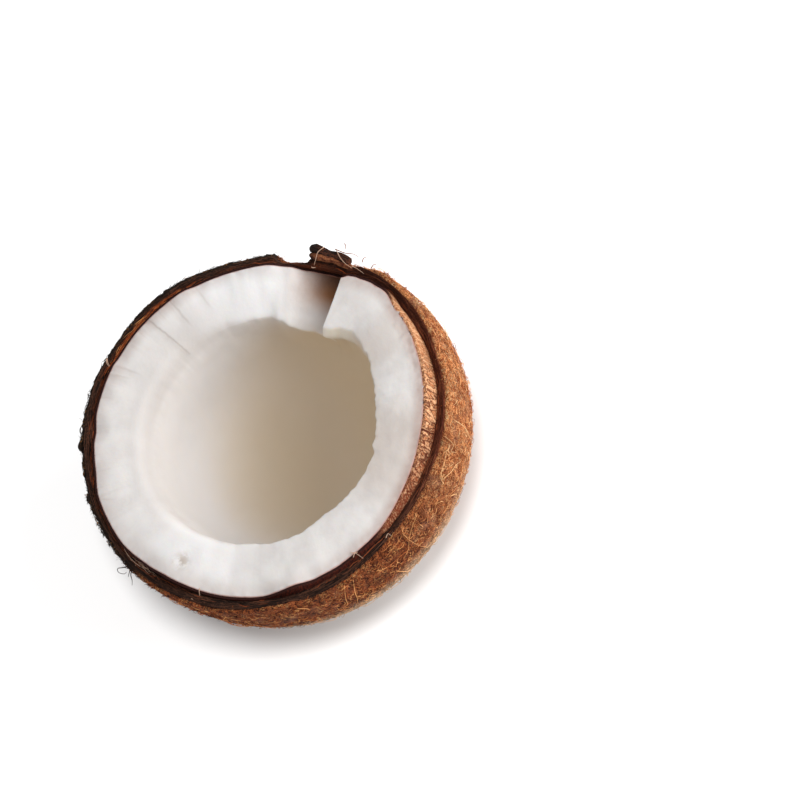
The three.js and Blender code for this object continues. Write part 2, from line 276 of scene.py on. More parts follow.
flesh = {
    "depth": 4.95,
    "columns": 480,
    "rings": (16, 60, 8, 62),  # outside, broken face, second face, hollow
    "crowding": 1.4,
    "cavityRadius": 37.5,
    "cavityDepth": 39,
    "hollowRadius": around(
        (-163, 33.6), (-154, 33.3), (-146, 33.6), (-137, 34.7), (-130, 35.1), (-121, 35.9),
        (-108, 36.2), (-95, 35.5), (-83, 36.2), (-73, 36.7), (-61, 37.3), (-50, 36.3), (-36, 35.8),
        (-24, 36.4), (-8, 38.1), (4, 38.7), (10, 37.6), (21.1, 34.6), (21.9, 35.3), (27.8, 34.3),
        (33, 33.6), (39, 33.8), (44, 35), (49.3, 36.3), (56, 35.7), (64, 35.5), (72, 36.1),
        (80, 36.6), (120, 36), (160, 35)),
    "lipDrop": around(
        (-170, 0.6), (-60, 0.6), (-14, 1.2), (2, 3.6), (21.1, 3.8), (21.9, 1), (60, 1)),
    "lipSlope": around((-170, 0.3), (-10, 0.3), (4, 0.45), (21.1, 0.5), (21.9, 0.3)),
    "crown": 0.5,
    "bevelCurve": 1.3,
    "fitFade": 2.2,  # how the hollow's own form takes over from its edge
    "fitLevel": 35,  # and the height where it has done so
    "skewLevels": (28, 49),
    "softness": around(  # how far the inner edge is rounded off
        (-170, 1), (-150, 0.9), (-130, 0.4), (-100, 0.15), (-60, 0.06), (0, 0.04), (21.1, 0.04),
        (21.9, 0.15), (35, 0.1), (50, 0.18), (62, 0.5), (76, 0.8), (92, 1), (115, 1), (150, 1)),
    "calmWidth": 9,  # bumps of the outer edge are evened out over this much on the face
    "softPasses": 3,
    "softReach": 45,
    "softWidth": 13,
    "farSide": (95, 100),  # azimuth and reach of the streaked side
    "nearSide": (-50, 110),  # and of the one with the rougher inner edge
    "crumbs": (-18, 26),
    "flakes": (-14, 40),
    "overhang": 2.2,
    "innerJag": 0.45,
}


def upTo(sums, place):
    # a running sum up to a place between two rings
    k = int(place)
    return sums[k].lerp(sums[k + 1], place - k)


def soften(profile, middle, amount):
    # rounds the profile off, most in the middle of the reach
    reach = flesh["softReach"]
    for _ in range(flesh["softPasses"]):
        sums = [Vector((0, 0))]
        for ring in profile:
            sums.append(sums[-1] + Vector(ring[3:]))
        for k in range(middle - reach + 1, middle + reach):
            away = (k - middle) / reach
            half = 0.5 + flesh["softWidth"] * amount * (1 - away * away) ** 2
            total = upTo(sums, k + 0.5 + half) - upTo(sums, k + 0.5 - half)
            profile[k] = (*profile[k][:3], *(total / (2 * half)))


def fitAt(height):
    level = flesh["fitLevel"]
    return max(0, (height - level) / (rimHeight - level)) ** flesh["fitFade"]


def fleshProfile(azimuth):
    outer, face, lip, hollow = flesh["rings"]
    depth = flesh["depth"]
    outerHeight = edges["fleshOuter"](azimuth)
    innerHeight = edges["fleshInner"](azimuth)
    edge = edgePolar(outerHeight, depth)
    # rings of the outside stand closer together towards the edge
    shares = [1 - (1 - k / outer) ** flesh["crowding"] for k in range(outer + 1)]
    profile = [(0, share, azimuth, *layer(azimuth, edge * share, depth)) for share in shares]
    outerRadius = profile[-1][3]
    beside = [edges["fleshOuter"](azimuth + turn * flesh["calmWidth"]) for turn in (-1, 1)]
    even = (outerHeight + sum(beside)) / 3
    calm = ramp(apart(azimuth, body["crack"]), 10, 16)
    innerRadius = flesh["hollowRadius"](azimuth)
    for k in range(1, face + 1):
        u = k / face
        crown = flesh["crown"] * math.sin(math.pi * u)
        level = mix(outerHeight, even, calm * ramp(u, 0, 0.35))
        height = mix(level, innerHeight, u ** flesh["bevelCurve"]) + crown
        radius = mix(outerRadius, innerRadius, u)
        profile.append((1, u, skewed(azimuth, u), radius, rimHeight + height))
    drop = flesh["lipDrop"](azimuth)
    for k in range(1, lip + 1):
        fallen = drop * k / lip
        radius = innerRadius - flesh["lipSlope"](azimuth) * fallen
        height = rimHeight + innerHeight - fallen
        profile.append((2, k / lip, skewed(azimuth, 1), radius, height))
    topPolar = math.acos((body["poleDepth"] - height) / flesh["cavityDepth"])
    stretch = (radius / (flesh["cavityRadius"] * math.sin(topPolar)) - 1) / fitAt(height)
    for k in range(1, hollow + 1):
        polar = topPolar * (1 - k / hollow)
        height = body["poleDepth"] - flesh["cavityDepth"] * math.cos(polar)
        radius = flesh["cavityRadius"] * math.sin(polar) * (1 + stretch * fitAt(height))
        turn = skewed(azimuth, ramp(height, *flesh["skewLevels"]))
        profile.append((3, k / hollow, turn, radius, height))
    soften(profile, outer + face + lip // 2, flesh["softness"](azimuth))
    return profile


def fleshRelief(azimuth, zone, share, point):
    if zone == 0:
        return point
    nearSide = near(azimuth, *flesh["nearSide"])
    jag = -flesh["innerJag"] * (0.25 + 0.9 * nearSide) * rough(rimPoint(azimuth), 4, 3, 5)
    if zone == 1:
        radius = math.hypot(point.x, point.y)
        streaks = rough(rimPoint(azimuth, radius * 0.1), 2.4, 3) * (1 - ramp(share, 0.1, 0.7))
        point.z += 0.1 * streaks * (0.3 + near(azimuth, *flesh["farSide"]))
        point.z += 0.2 * rough(point, 8, 2, 1) + 0.08 * nearSide * rough(point, 3, 2, 2)
        point.z += 0.3 * (1 - ramp(share, 0, 0.12)) * rough(rimPoint(azimuth), 1.3, 2, 3)
        crumbs = near(azimuth, *flesh["crumbs"]) * ramp(share, 0.02, 0.06)
        crumbs *= 0.5 * (1 - ramp(share, 0.16, 0.3))
        point.z += crumbs * max(0, rough(rimPoint(azimuth * 1.5, radius * 0.3), 0.9, 2, 4))
        flakes = near(azimuth, *flesh["flakes"]) * ramp(share, 0, 0.02)
        flakes *= flesh["overhang"] * (1 - ramp(share, 0.02, 0.1))
        flakes *= max(0, rough(rimPoint(azimuth), 1.1, 3, 7) - 0.12)
        return shifted(point, flakes + jag * ramp(share, 0.8, 1))
    if zone == 2:
        return shifted(point, jag)
    hollow = 0.3 * rough(point, 11, 2, 6) * ramp(share, 0, 0.15)
    return shifted(point, jag * (1 - ramp(share, 0, 0.12)) + hollow)


def shifted(point, outwards):
    # moves a point away from the axis
    radius = math.hypot(point.x, point.y)
    if radius < 1:
        return point
    scale = 1 + outwards / radius
    return Vector((point.x * scale, point.y * scale, point.z))


# A wall lies between two layers, and its edge is broken off

wallBand = 9  # most rings of a wall stand within this much of its edge


def wallRings(count, height, depth):
    # polar angles up to an edge, two thirds of them within the band below it
    edge = edgePolar(height, depth)
    few = count // 3
    start = edge - wallBand / (body["poleDepth"] - depth)
    low = [start * k / few for k in range(few)]
    return low + [mix(start, edge, k / (count - few)) for k in range(count - few + 1)]


def wallProfile(azimuth, wall, outside, heightAt):
    # up the outside, given as (share, polar, depth), over the edge and down the inside
    _, face, inner = wall["rings"]
    profile = [(0, share, azimuth, *layer(azimuth, *place)) for share, *place in outside]
    for k in range(1, face + 1):
        depth = mix(outside[-1][2], wall["innerDepth"], k / face)
        polar = edgePolar(heightAt(k / face), depth)
        profile.append((1, k / face, azimuth, *layer(azimuth, polar, depth)))
    polars = wallRings(inner, heightAt(1), depth)
    for k in range(1, inner + 1):
        profile.append((2, k / inner, azimuth, *layer(azimuth, polars[-1 - k], depth)))
    return profile


# The brown skin round the flesh

skin = {
    "depth": 4.2,
    "innerDepth": 4.93,
    "step": 0.1,  # its edge lies this far below the flesh's
    "columns": 540,
    "rings": (34, 4, 8),  # outside, edge, inside
    "slant": 0.45,  # degrees that a wrinkle turns for each millimetre down
    "wrinkles": 0.22,
    "wrinkled": (-35, 60),  # azimuth and reach
    "mostWrinkled": (-40, 26),
}


def skinProfile(azimuth):
    height = edges["fleshOuter"](azimuth) - skin["step"]
    polars = wallRings(skin["rings"][0], height, skin["depth"])
    outside = [(polar / polars[-1], polar, skin["depth"]) for polar in polars]
    return wallProfile(azimuth, skin, outside, lambda share: height)


def skinRelief(azimuth, zone, share, point):
    if zone != 0 or share < 0.85:
        return point
    drop = rimHeight - point.z
    slanted = rimPoint(azimuth + skin["slant"] * drop, 0.12 * drop)
    wrinkled = (0.3 + near(azimuth, *skin["mostWrinkled"])) * near(azimuth, *skin["wrinkled"])
    wrinkled *= ramp(drop, -0.2, 0.8)
    return shifted(point, skin["wrinkles"] * rough(slanted, 1.3, 2, 11) * wrinkled - 0.05)


# The hard shell

shell = {
    "depth": 1.15,
    "innerDepth": 4.17,
    "columns": 480,
    "rings": (22, 30, 20),
    "split": around(
        (0, 0), (17, 0), (20, 0.8), (34.5, 0.9), (36, 1.9), (45.5, 1.9), (47.5, 0.2), (52, 0),
        (180, 0)),
    "jag": 0.34,
    "layering": 0.3,
    "grain": 0.16,
}


def shellProfile(azimuth):
    jag, depth = shell["jag"], shell["depth"]
    outerHeight = edges["shellOuter"](azimuth) + jag * rough(rimPoint(azimuth), 1.7, 3, 21)
    innerHeight = edges["shellInner"](azimuth) + jag * rough(rimPoint(azimuth), 2.4, 3, 22)

    def heightAt(share):
        layers = rough(Vector((0.06 * azimuth, 9 * share, 0)), 1, 3, 23)
        layers *= shell["layering"] * math.sin(math.pi * share)
        return mix(outerHeight, innerHeight, share) + layers

    outside = []
    polars = wallRings(shell["rings"][0], outerHeight, depth)
    for polar in polars:
        share = polar / polars[-1]
        split = shell["split"](azimuth) * ramp(share, 0.93, 1)
        outside.append((share, polar, depth + split))
    return wallProfile(azimuth, shell, outside, heightAt)


def shellRelief(azimuth, zone, share, point):
    if zone != 1:
        return point
    grain = rough(rimPoint(azimuth * 0.5, share * 6), 0.8, 2, 24) * math.sin(math.pi * share)
    return point + Vector((0, 0, shell["grain"] * grain))


# The coat of coir left on the shell

coat = {
    "innerDepth": 1.12,
    "columns": 440,
    "rings": (108, 8, 12),
    "crown": 0.2,
    "lumps": 0.3,
    "strings": 0.16,
    "edgeJag": 0.4,
    "edgeLumps": 0.5,
    "lumpySide": (165, 110),  # away from the brown skin
    "blobs": (  # azimuth, height, how far they stand out, size
        (141, 58.6, 2, 2.6), (158.8, 58.2, 1.5, 2.2), (131, 58, 0.8, 1.8), (150, 58.5, 0.7, 1.6)),
    "eyeAzimuth": 58,
    "eyeDistance": 13.5,
    "eyeRadius": 3.8,
    "eyeSink": 2.3,
}
eyeSpots = [spot(coat["eyeAzimuth"] + turn, coat["eyeDistance"], 0) for turn in (0, 120, 240)]


def eyeCloseness(point):
    # 1 over a germination eye, 0 away from it
    gap = min(math.hypot(point.x - eye.x, point.y - eye.y) for eye in eyeSpots)
    return 1 - ramp(gap, coat["eyeRadius"] - 0.5, coat["eyeRadius"] + 0.9)


def coatProfile(azimuth):
    jag = rough(rimPoint(azimuth), 1.5, 3, 31)
    height = edges["coat"](azimuth) + coat["edgeJag"] * jag
    edge = edgePolar(height, 0)
    outer = coat["rings"][0]
    outside = [(k / outer, edge * k / outer, 0) for k in range(outer + 1)]
    crown = coat["crown"]
    return wallProfile(azimuth, coat, outside, lambda u: height + crown * math.sin(math.pi * u))


def coatRelief(azimuth, zone, share, point):
    if zone == 2:
        return point
    upright = ramp(point.z, 0.1, 2)
    bump = coat["lumps"] * rough(point, 6, 3, 32) + coat["strings"] * rough(point, 1.5, 2, 33)
    edgeLumps = coat["edgeLumps"] * near(azimuth, *coat["lumpySide"]) * ramp(point.z, 52, 58)
    bump += edgeLumps * rough(rimPoint(azimuth, point.z - rimHeight), 2.4, 2, 34)
    for turn, level, stands, size in coat["blobs"]:
        aside = math.radians(apart(azimuth, turn)) * body["rimRadius"]
        gap = math.hypot(aside, point.z - level)
        bump += stands * (1 - ramp(gap, 0, size))
    outwards = Vector((point.x, point.y, point.z - body["poleDepth"])).normalized()
    point = point + outwards * (bump - 0.15) * upright
    point.z += coat["eyeSink"] * eyeCloseness(point) * (1 - ramp(point.z, 6, 9))
    if share * coat["rings"][0] * 0.9 < body["restAngle"]:
        point.z = 0 if eyeCloseness(point) == 0 else point.z
    point.z = max(0, point.z)
    return point


# Colours and patterns. Patterns read object coordinates turned to millimetres


def rgb(red, green, blue):
    channels = [channel / 255 for channel in (red, green, blue)]
    return [c / 12.92 if c < 0.04045 else ((c + 0.055) / 1.055) ** 2.4 for c in channels] + [1]


def operator(operation, reflected=False):
    def apply(first, second):
        values = (second, first) if reflected else (first, second)
        return first.math(operation, *values)

    return apply


class Wire:
    # an output of a shader node, for use in expressions
    def __init__(self, socket):
        self.socket = socket

    def node(self, kind, settings, inputs, output=0):
        made = self.socket.id_data.nodes.new("ShaderNode" + kind)
        for name, value in settings.items():
            setattr(made, name, value)
        for name, value in inputs.items():
            if isinstance(value, Wire):
                self.socket.id_data.links.new(value.socket, made.inputs[name])
            else:
                made.inputs[name].default_value = value
        return Wire(made.outputs[output])

    def math(self, operation, *values):
        return self.node("Math", {"operation": operation}, dict(enumerate(values)))

    __add__, __radd__ = operator("ADD"), operator("ADD", True)
    __sub__, __rsub__ = operator("SUBTRACT"), operator("SUBTRACT", True)
    __mul__, __rmul__ = operator("MULTIPLY"), operator("MULTIPLY", True)
    __truediv__ = operator("DIVIDE")

    def __abs__(self):
        return self.math("ABSOLUTE", self)

    def past(self, other):
        # how far away from an axis a place with these two coordinates is
        return self.math("SQRT", self * self + other * other)

    def rise(self, start, end):
        # 0 below start, 1 above end; end may be the lower one
        values = {"Value": self, "From Min": start, "From Max": end}
        return self.node("MapRange", {"interpolation_type": "SMOOTHSTEP"}, values)

    def blend(self, first, second):
        # a colour between two, by this wire
        values = {0: self, 6: first, 7: second}
        return self.node("Mix", {"data_type": "RGBA"}, values, 2)

    def scaled(self, *factors):
        # a place stretched along each axis
        return self.node("VectorMath", {"operation": "MULTIPLY"}, {0: self, 1: factors})

    def noise(self, size, detail=2, roughness=0.5, distortion=0):
        values = {
            "Vector": self, "Scale": 1 / size, "Detail": detail, "Roughness": roughness,
            "Distortion": distortion}
        return self.node("TexNoise", {}, values)

    def bump(self, distance, strength):
        values = {"Height": self, "Distance": distance * mm, "Strength": strength}
        return self.node("Bump", {}, values)


def overlaid(colour, tones, *layers):
    # colours laid over one another, each where its mask is
    for mask, tone in layers:
        colour = mask.blend(colour, tones[tone])
    return colour


class Finish:
    # a new material with the places that its patterns use
    def __init__(self, name, **constants):
        self.material = bpy.data.materials.new(name)
        self.material.use_nodes = True
        nodes = self.material.node_tree.nodes
        self.shader = nodes["Principled BSDF"]
        coordinates = nodes.new("ShaderNodeTexCoord")
        self.place = Wire(coordinates.outputs["Object"]).scaled(1000, 1000, 1000)
        parts = self.place.node("SeparateXYZ", {}, {0: self.place})
        outputs = parts.socket.node.outputs
        self.x, self.y, self.z = (Wire(output) for output in outputs)
        self.radius = self.x.past(self.y)
        for socket, value in constants.items():
            self.shader.inputs[socket.replace("_", " ")].default_value = value

    def attribute(self, name):
        return self.place.node("Attribute", {"attribute_name": name}, {}, 2)

    def rimPlace(self, along, across):
        # a place that moves with the turn round the rim and with this wire across it
        values = {0: self.x / self.radius * along, 1: self.y / self.radius * along, 2: across}
        return self.place.node("CombineXYZ", {}, values)

    def facing(self, azimuth, reach):
        # 1 at an azimuth, 0 further than the reach from it
        turn = math.radians(azimuth)
        cosine = (self.x * math.cos(turn) + self.y * math.sin(turn)) / self.radius
        return cosine.rise(math.cos(math.radians(reach)), 1)

    def facings(self, sides):
        return {name: self.facing(*side) for name, side in sides.items()}

    def spotAt(self, azimuth, radius, size):
        # 1 at a spot seen from above, 0 further than its size away
        middle = spot(azimuth, radius, 0)
        return (self.x - middle.x).past(self.y - middle.y).rise(size, 0)

    def beside(self, start, end):
        # how far to one side of a line between two (azimuth, radius) points a place is, seen from
        # above, and 1 between the line's ends
        first, last = spot(*start, 0), spot(*end, 0)
        length = (last - first).length
        along = (last - first) / length
        gapX, gapY = self.x - first.x, self.y - first.y
        far = gapX * along.x + gapY * along.y
        between = far.rise(-0.6, 0.6) * far.rise(length + 1, length - 4)
        return gapX * along.y - gapY * along.x, between

    def use(self, **links):
        for socket, wire in links.items():
            target = self.shader.inputs[socket.replace("_", " ")]
            self.material.node_tree.links.new(wire.socket, target)
        return self.material


fleshLook = {
    "white": rgb(238, 234, 231),
    "milky": rgb(229, 224, 221),
    "grey": rgb(206, 200, 196),
    # painted light: the broken face made brighter on two sides
    "top": rgb(252, 249, 248),
    # painted shade on the face round azimuths -56 and -9
    "low": rgb(206, 190, 178),
    # painted light and shade in the hollow: pale on the side facing the key lamp, warmer and
    # darker on the other side and low down
    "hollowPale": rgb(221, 217, 215),
    "hollowWarm": rgb(222, 202, 172),
    "hollowLow": rgb(200, 184, 159),
    # painted light on the narrow second face under the raised piece
    "facet": rgb(255, 244, 229),
    "hollowLight": (-0.0299, 0.0074),  # painted light: the hollow is paler on this side, which faces the key lamp
    "rind": rgb(186, 160, 150),
    "pink": rgb(196, 136, 120),
    # painted shadow, brown, of the raised piece in the recess beside the step
    "brown": rgb(142, 90, 44),
    # painted shadow in the recess's corner under the shell
    "cornerShadow": rgb(66, 33, 13),
    "stain": rgb(192, 178, 164),
    "stainPlace": (-157.6, 45.2, 4.2),  # azimuth, radius, size
    "crackShade": rgb(176, 162, 152),
    # painted highlight along the raised piece's edge
    "crestHighlight": rgb(252, 247, 240),
    "sides": {  # azimuth and reach
        "streaked": (100, 85), "bright": (60, 28), "brightEdge": (-155, 27), "facet": (12.5, 14),
        "low": (-56, 26), "shadedRing": (-9, 11), "open": (-160, 34), "openEdge": (-160, 28),
        "shadeInward": (103, 40), "shaded": (145, 50), "late": (60, 36), "rind": (-35, 85),
        "farRind": (92, 35), "corner": (27, 12)},
    "step": ((21.9, 53), (17.1, 33)),  # start and end, as azimuth and radius
    "cracks": (  # start, end, width, strength
        ((94.8, 52.6), (92.3, 35), 0.6, 0.6),
        ((85.2, 52.4), (84, 41), 0.7, 0.42),
        ((75.4, 51.4), (73, 42), 0.7, 0.25),
        ((113.6, 52.6), (112.5, 43), 0.8, 0.4),
        ((117, 52.4), (115.4, 45), 0.8, 0.35),
        ((161.6, 51.6), (164, 47.6), 0.5, 0.3),
        ((125.5, 52.2), (124.5, 48), 0.6, 0.25),
    ),
}


def fleshFinish():
    look = Finish(
        "flesh", Subsurface_Weight=0.25, Subsurface_Radius=(1, 0.75, 0.55), Subsurface_Scale=0.003,
        Specular_IOR_Level=0.35)
    across, sides = look.attribute("across"), look.facings(fleshLook["sides"])
    onFace = across.rise(2.3, 1.8)
    streaks = look.rimPlace(56, look.radius * 0.06).noise(2, 3, 0.55)
    streaked = sides["streaked"] * across.rise(1.45, 1.02)
    mottle = look.place.noise(7, 3)
    colour = mottle.rise(0.35, 0.7).blend(fleshLook["white"], fleshLook["milky"])
    # painted light on the face round azimuths 60 and -155
    bright = sides["bright"] + sides["brightEdge"] * across.rise(1.1, 1.4) * 0.8
    # painted light on the narrow second face under the raised piece
    facet = sides["facet"] * across.rise(3.08, 3)
    # painted shade on the face round azimuths -56 and -9
    shadedRing = sides["low"] * 0.5 + sides["shadedRing"] * 0.35
    lightX, lightY = fleshLook["hollowLight"]
    lit = look.x * lightX + look.y * lightY
    # painted shade on the face's inner rounding on the side that faces the key lamp
    roundingShade = lit.rise(0.2, 1.1) * across.rise(1.45, 1.95) * (1 - sides["open"])
    # painted shade on the inner rounding round azimuths 103 and 145
    shadeInward = sides["shadeInward"] * across.rise(1.2, 1.8) * across.rise(3.1, 2.4) * 0.45
    shadeInward = shadeInward + sides["shaded"] * across.rise(1.5, 1.9) * across.rise(3.2, 2.1) * 0.28
    colour = overlaid(
        colour, fleshLook, (streaks.rise(0.5, 0.8) * (0.1 + 0.4 * streaked) * onFace, "grey"),
        (bright * across.rise(2.2, 1.85), "top"), (facet * across.rise(1.97, 2.03) * 0.9, "facet"),
        (shadedRing * onFace, "low"), (roundingShade * 0.6, "hollowPale"), (shadeInward, "grey"))
    # the hollow: painted shade, warmer and darker low down and away from the side facing the key
    # lamp
    lifted = lit + (look.z - 30) * lit.rise(-0.6, 0.3) * 0.05
    warm = lifted.rise(1.2, -1).blend(fleshLook["hollowPale"], fleshLook["hollowWarm"])
    warm = (look.z.rise(31, 18) * lit.rise(-0.4, 0.5) * 0.5).blend(warm, fleshLook["hollowLow"])
    deep = (look.z + lit * 7 + sides["late"] * 8).rise(64, 42) * across.rise(1.7, 2.5)
    deep = deep * (1 - facet) * (1 - sides["openEdge"] * look.z.rise(34, 46) * 0.7)
    colour = deep.blend(colour, warm)
    # the cracks, and the step with its recess
    wander = look.place.noise(2.2) - 0.5
    cracks = 0
    for start, end, width, strength in fleshLook["cracks"]:
        aside, inside = look.beside(start, end)
        aside = aside + wander * 0.8
        shade = aside.rise(width * 4, 0) * aside.rise(-0.3, 0.1) * 0.35
        crack = (abs(aside).rise(width, 0) * 0.5 + shade) * inside * strength
        cracks = crack.math("MAXIMUM", cracks, crack)
    cracks = cracks * onFace
    aside, inside = look.beside(*fleshLook["step"])
    # painted shadow of the raised piece, over the recess beside the step
    recess = (aside + wander).rise(20, 3) * aside.rise(-0.1, 0.2) * inside * onFace
    # painted highlight along the raised piece's edge
    crestHighlight = aside.rise(-1.1, -0.3) * aside.rise(0.2, 0) * inside * onFace
    rind = across.rise(1.3, 1.02) * (0.25 + 0.45 * sides["rind"] + 0.2 * sides["farRind"])
    stain = look.spotAt(*fleshLook["stainPlace"]) * look.place.noise(2.2, 3, 0.6).rise(0.36, 0.6)
    colour = overlaid(
        colour, fleshLook, (cracks, "crackShade"),
        (recess * (0.1 + 0.9 * look.radius.rise(36.5, 46)), "brown"),
        # painted shadow in the recess's corner under the shell
        (sides["corner"] * across.rise(1.5, 1.05) * recess * 0.85, "cornerShadow"),
        (crestHighlight * 0.8, "crestHighlight"),
        (rind * (0.5 + look.place.noise(2.5, 3)) * (1 - recess), "rind"),
        (across.rise(1.03, 1) * (0.4 + look.place.noise(1.5)) * 0.8, "pink"),
        (stain * 0.8, "stain"))
    height = (streaks * (0.1 + streaked * 0.5) + look.place.noise(1.1, 3) * 0.4) * onFace
    return look.use(
        Base_Color=colour, Roughness=0.42 + 0.2 * mottle,
        Normal=(height - cracks * 0.8).bump(0.22, 0.7))


skinLook = {
    "light": rgb(250, 194, 147),
    "brown": rgb(198, 123, 77),
    # redder and darker towards azimuths -92 and -64, away from the lit side: painted shade, with
    # the pits' own darker colour
    "deep": rgb(138, 66, 40),
    "line": rgb(100, 42, 24),
    # painted shade: the skin's colours on its unlit side and at its top edge
    "dark": rgb(104, 44, 28),
    "darkEdge": rgb(48, 18, 13),
    "sides": {
        "lit": (-40, 49), "lined": (-46, 30), "pitted": (-64, 34), "deep": (-92, 36),
        "deepest": (-64, 22), "cracked": (-46, 8)},
    "crack": ((-46.6, 56), (-46.2, 50)),  # start and end, as azimuth and radius
}


def skinFinish():
    look = Finish("brownSkin", Specular_IOR_Level=0.2)
    across, sides = look.attribute("across"), look.facings(skinLook["sides"])
    values = {"Vector": look.place, "Angle": (rimHeight - look.z) * math.radians(skin["slant"])}
    turned = look.place.node("VectorRotate", {"rotation_type": "Z_AXIS"}, values)
    wrinkles = turned.scaled(1, 1, 0.12).noise(1.4, 2, 0.5, 0.5)
    grains = turned.scaled(1, 1, 0.5).noise(0.45, 3, 0.75)
    lines = abs(wrinkles - 0.5).rise(0.06, 0.01) * (0.3 + 0.7 * sides["lined"])
    pits = turned.scaled(1, 1, 0.7).noise(0.7, 3, 0.7).rise(0.54, 0.66) * sides["pitted"]
    # painted shade: redder and darker towards azimuths -92 and -64, away from the lit side
    deeper = sides["deep"] * 0.9 + sides["deepest"] * 0.5
    aside, _ = look.beside(*skinLook["crack"])
    aside = aside + (look.place.noise(1) - 0.5) * 0.8
    crack = abs(aside).rise(0.45, 0.15) * sides["cracked"]
    unlit = 1 - sides["lit"].rise(0, 0.3)
    colour = (grains * 0.8 + wrinkles * 0.3).rise(0.46, 0.65)
    colour = overlaid(
        colour.blend(skinLook["brown"], skinLook["light"]), skinLook,
        (deeper * (0.35 + 0.65 * grains.rise(0.62, 0.42)), "deep"), (pits * 0.9, "deep"),
        (lines * 0.9, "line"), (crack, "line"))
    dark = grains.rise(0.4, 0.66).blend(skinLook["darkEdge"], skinLook["dark"])
    # painted shade along the skin's top edge next to the shell, strongest on the unlit side
    edge = across.rise(0.99, 1.02) * (0.15 + 0.85 * unlit)
    return look.use(
        Base_Color=edge.blend(unlit.blend(colour, dark), skinLook["darkEdge"]),
        Roughness=0.6 + 0.25 * grains,
        Normal=(grains * 0.6 - lines - crack - pits * 0.5).bump(0.3, 0.9))


shellLook = {
    "black": rgb(32, 20, 15),
    "brown": rgb(112, 73, 55),
    # painted light: the shell's colours on the side towards the key lamp
    "rightBlack": rgb(90, 40, 25),
    "rightBrown": rgb(152, 82, 52),
    "red": rgb(196, 94, 46),
    "streak": rgb(255, 182, 112),
    "pale": rgb(232, 194, 168),
    "sides": {"right": (-20, 66), "splinterShade": (14, 34)},
    "redSides": {"reddish": (105, 95), "red": (97, 28), "marked": (97, 24)},
}


def shellColour(look, shade):
    # black to brown, redder on the lit side and black by the splinters: painted light and shade
    sides = look.facings(shellLook["sides"])
    black = sides["right"].blend(shellLook["black"], shellLook["rightBlack"])
    brown = sides["right"].blend(shellLook["brown"], shellLook["rightBrown"])
    return (sides["splinterShade"] * 0.55).blend(shade.blend(black, brown), shellLook["black"])


def shellFinish():
    look = Finish("hardShell", Specular_IOR_Level=0.15)
    across, sides = look.attribute("across"), look.facings(shellLook["redSides"])
    grain = look.rimPlace(20, across * 20).noise(1, 4, 0.75)
    fine = look.place.noise(0.4, 3, 0.7)
    inner = across.rise(1.25, 1.6) * across.rise(2.5, 2.1)
    reddish = inner * sides["reddish"].rise(0, 0.3) * (0.2 + sides["red"])
    marked = look.rimPlace(22, across * 34).noise(1, 3, 0.6).rise(0.54, 0.64) * sides["marked"]
    marked = marked * across.rise(1.35, 1.55) * across.rise(0.98, 1.1) * across.rise(2.05, 1.95)
    colour = overlaid(
        shellColour(look, (grain * 0.55 + fine * 0.55).rise(0.5, 0.67)), shellLook,
        (reddish * (0.4 + fine * 1.2), "red"), (marked, "streak"))
    return look.use(
        Base_Color=colour, Roughness=0.7 + 0.3 * fine, Normal=(grain + fine).bump(0.6, 1))


def strandFinish():
    # the shell's own torn strands, from black over brown to pale
    look = Finish("shellStrand", Specular_IOR_Level=0.2)
    tone = look.attribute("tone")
    colour = overlaid(
        shellColour(look, tone.rise(0, 0.45)), shellLook, (tone.rise(0.4, 0.75), "red"),
        (tone.rise(0.7, 1), "streak"), (tone.rise(1.1, 1.3), "pale"))
    return look.use(Base_Color=colour, Roughness=0.75 + 0.2 * tone)


coirLook = {
    "dark": rgb(62, 24, 11),
    "brown": rgb(194, 108, 61),
    "light": rgb(252, 182, 116),
    # painted light: the coat's colours on the side towards the key lamp
    "litDark": rgb(152, 70, 34),
    "litBrown": rgb(255, 176, 112),
    "litLight": rgb(255, 216, 160),
    "grey": rgb(150, 124, 108),
    "red": rgb(138, 72, 46),
    # painted shade along the coat's top edge on the side away from the key lamp
    "shadedRim": rgb(44, 31, 24),
    # painted sheen: the fuzz paler low down on one side, as if seen against the light
    "sheenPale": rgb(250, 222, 184),
    "sides": {"lit": (-15, 68), "paintedSheen": (-100, 80), "shadedRim": (112, 92)},
}


def coirColour(look, shade, light):
    # from dark over brown to light; the lit copies are painted light on the side towards the key
    # lamp
    sides = look.facings(coirLook["sides"])
    lit = sides["lit"]
    dark, brown, pale = [
        lit.blend(coirLook[tone], coirLook["lit" + tone.capitalize()])
        for tone in ("dark", "brown", "light")]
    greyish = look.place.noise(8).rise(0.56, 0.7)
    # red patches of the coat's own, stronger away from the lit side as painted shade
    reddish = look.place.scaled(1, 1, 1.3).noise(6).rise(0.58, 0.72)
    # painted sheen: paler low down round azimuth -100, broken by noise
    paintedSheen = look.z.rise(47, 38) * (0.5 + 0.5 * look.z.rise(8, 26))
    paintedSheen = paintedSheen * sides["paintedSheen"] * sides["paintedSheen"]
    paintedSheen = paintedSheen * (0.6 + 0.5 * look.place.noise(2.5, 3)) * (0.4 + 0.36 * shade)
    # painted shade along the top edge round azimuth 112
    shadedRim = look.z.rise(56.5, 58.5) * sides["shadedRim"].rise(0, 0.2)
    return overlaid(
        light.blend(shade.blend(dark, brown), pale), coirLook, (greyish * 0.25, "grey"),
        (reddish * (1 - lit * 0.7) * 0.6, "red"), (paintedSheen, "sheenPale"),
        (shadedRim * (1 - light * 0.6), "shadedRim"))


def curlLines(place, size, width):
    # thin curly lines, broken off here and there
    lines = abs(place.noise(size, 1, 0.5, 1.6) - 0.5).rise(width, width / 3)
    return lines * place.noise(size * 2.5, 1).rise(0.42, 0.56)


